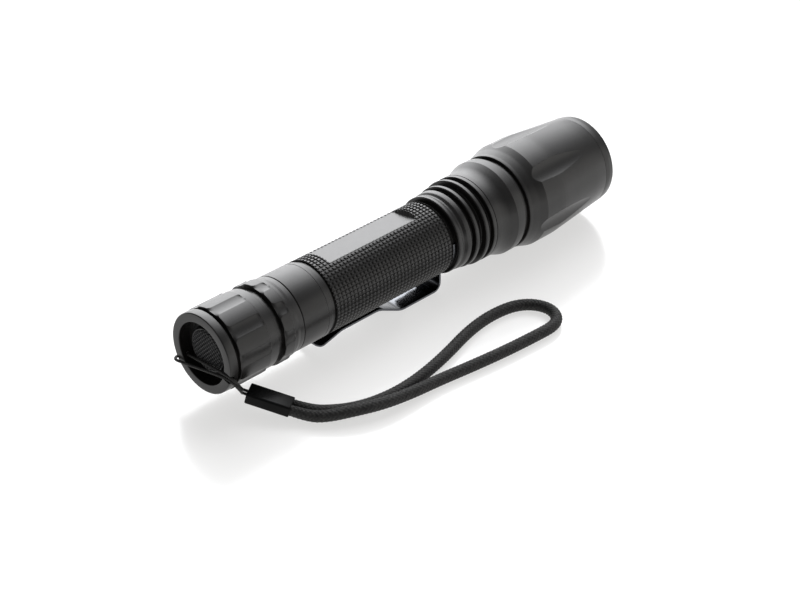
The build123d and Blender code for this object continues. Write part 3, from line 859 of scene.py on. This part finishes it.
def strip_ring(where, tangent, left):
    """The strip's section at a point, narrower over its last millimetres for a rounded tip."""
    narrow = 0.0
    if left < CLIP_TIP:
        narrow = CLIP_TIP - math.sqrt(max(0.0, CLIP_TIP**2 - max(0.0, CLIP_TIP - left) ** 2))
    half_wide = CLIP_HALF_WIDTH - narrow
    normal = np.array([-tangent[2], 0, tangent[0]])
    ring = []
    for sy, sz, start in BOX_CORNERS:
        for k in range(STRIP_POINTS // 4):
            a = math.radians(start + 30 * k)
            across = sy * (half_wide - CLIP_EDGE) + CLIP_EDGE * math.cos(a)
            up = sz * (CLIP_HALF_THICK - CLIP_EDGE) + CLIP_EDGE * math.sin(a)
            ring.append(tuple(where + np.array([0, 1, 0]) * across + normal * up))
    return ring


def finer(path, step):
    """The path with its long runs divided."""
    made = [path[0]]
    for before, after in zip(path, path[1:]):
        parts = max(1, round(np.linalg.norm(after - before) / step))
        made += [before + (after - before) * (k + 1) / parts for k in range(parts)]
    return np.array(made)


def clip():
    """The open band and the spring strip, bent at the foot and kinked up to the grip."""
    points, faces = clip_band()
    route = rounded([(122.5, 8.0), (122.5, 0.45, 3.4), (99.8, 0.45, 9), (87.0, 6.3, 9), (66.0, 6.3, 8),
                     (54.2, 3.3)], closed=False)
    path = finer(np.array([place(s, 0, z) for s, z in route]), 0.6 * MM)
    tangents = np.gradient(path, axis=0)
    tangents /= np.linalg.norm(tangents, axis=1)[:, None]
    total = np.linalg.norm(np.diff(path, axis=0), axis=1).sum()
    gone = 0.0
    first = len(points)
    for i, (where, tangent) in enumerate(zip(path, tangents)):
        if i:
            gone += np.linalg.norm(path[i] - path[i - 1])
        points += strip_ring(where, tangent, total - gone)
    strip = grid_faces(len(path), STRIP_POINTS, False, True)
    faces += [tuple(first + k for k in face) for face in strip]
    faces.append(tuple(first + k for k in range(STRIP_POINTS)))
    faces.append(tuple(first + (len(path) - 1) * STRIP_POINTS + k for k in range(STRIP_POINTS)))
    piece = new_piece("belt_clip", points, faces, None, "clip_steel", ["clip_band", "clip_arm"], 40.0)
    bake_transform(piece)


clip()

# ---------------------------------------------------------------- floor and light


FLOOR_GLOW = 0.62


def floor():
    """A white floor that gives off some light, so that what lies on it casts only a pale shadow."""
    mesh = bpy.data.meshes.new("floor")
    half = 8.0
    corners = [(-half, -half, 0), (half, -half, 0), (half, half, 0), (-half, half, 0)]
    mesh.from_pydata(corners, [], [(0, 1, 2, 3)])
    piece = bpy.data.objects.new("floor", mesh)
    bpy.context.scene.collection.objects.link(piece)
    shader = Shader("floor", Roughness=0.2, IOR=1.4, Emission_Color=(1, 0.995, 0.985, 1),
                    Emission_Strength=FLOOR_GLOW)
    shader.tint(shader.noise(2.0), (0.38, 0.38, 0.38), (0.39, 0.39, 0.39))
    mesh.materials.append(shader.material)


KEY_DIRECTION, KEY_TONE = (0.6, 0.535, 0.594), (1, 1.005, 1.02)
FILL_DIRECTION, FILL_TONE = (0.6, -0.8, 0.0), (1, 0.98, 0.95)
# The key light weakens with the square of a direction's distance from this share of +X.
KEY_MIDDLE_X, KEY_NARROWING = 0.5, 2.5
# How nearly a direction faces the light, then the radiance from it.
KEY_LEVELS = ((0.0, 0.2), (0.275, 0.38), (0.425, 0.48), (0.575, 0.74), (0.715, 1.7), (0.815, 3.3),
              (0.87, 4.3), (0.93, 5.3), (0.975, 6.2))
FILL_LEVELS = ((0.0, 0.0), (0.79, 0.0), (0.86, 0.4), (0.93, 0.85), (1.0, 0.9))


class Sky:
    """Soft light that depends on the direction alone."""

    def __init__(self):
        world = bpy.data.worlds.new("studio")
        world.use_nodes = True
        bpy.context.scene.world = world
        self.tree = world.node_tree
        self.toward = self.tree.nodes.new("ShaderNodeTexCoord").outputs["Generated"]

    def math(self, operation, first, second):
        made = self.tree.nodes.new("ShaderNodeMath")
        made.operation = operation
        for socket, value in zip(made.inputs, (first, second)):
            if isinstance(value, bpy.types.NodeSocket):
                self.tree.links.new(value, socket)
            else:
                socket.default_value = value
        return made.outputs[0]

    def facing(self, direction):
        made = self.tree.nodes.new("ShaderNodeVectorMath")
        made.operation = "DOT_PRODUCT"
        self.tree.links.new(self.toward, made.inputs[0])
        made.inputs[1].default_value = direction
        return made.outputs["Value"]

    def glow(self, nearness, levels, tone):
        made = self.tree.nodes.new("ShaderNodeValToRGB")
        self.tree.links.new(nearness, made.inputs["Fac"])
        while len(made.color_ramp.elements) < len(levels):
            made.color_ramp.elements.new(0.5)
        for element, (position, level) in zip(made.color_ramp.elements, levels):
            element.position = position
            element.color = (level * tone[0], level * tone[1], level * tone[2], 1)
        return made.outputs["Color"]


def studio():
    """A white floor, a large soft key light above and behind the torch as the camera sees it, and a
    weak low fill from the picture's right."""
    floor()
    sky = Sky()
    off_middle = sky.math("SUBTRACT", sky.facing((1, 0, 0)), KEY_MIDDLE_X)
    narrowing = sky.math("MULTIPLY", sky.math("MULTIPLY", off_middle, off_middle), KEY_NARROWING)
    nearness = sky.math("SUBTRACT", sky.facing(KEY_DIRECTION), narrowing)
    key = sky.glow(nearness, KEY_LEVELS, KEY_TONE)
    fill = sky.glow(sky.facing(FILL_DIRECTION), FILL_LEVELS, FILL_TONE)
    both = sky.tree.nodes.new("ShaderNodeVectorMath")
    both.operation = "ADD"
    sky.tree.links.new(key, both.inputs[0])
    sky.tree.links.new(fill, both.inputs[1])
    sky.tree.links.new(both.outputs["Vector"], sky.tree.nodes["Background"].inputs["Color"])
    sky.tree.nodes["Background"].inputs["Strength"].default_value = 1.0
    bpy.context.scene.view_settings.view_transform = "Standard"


studio()
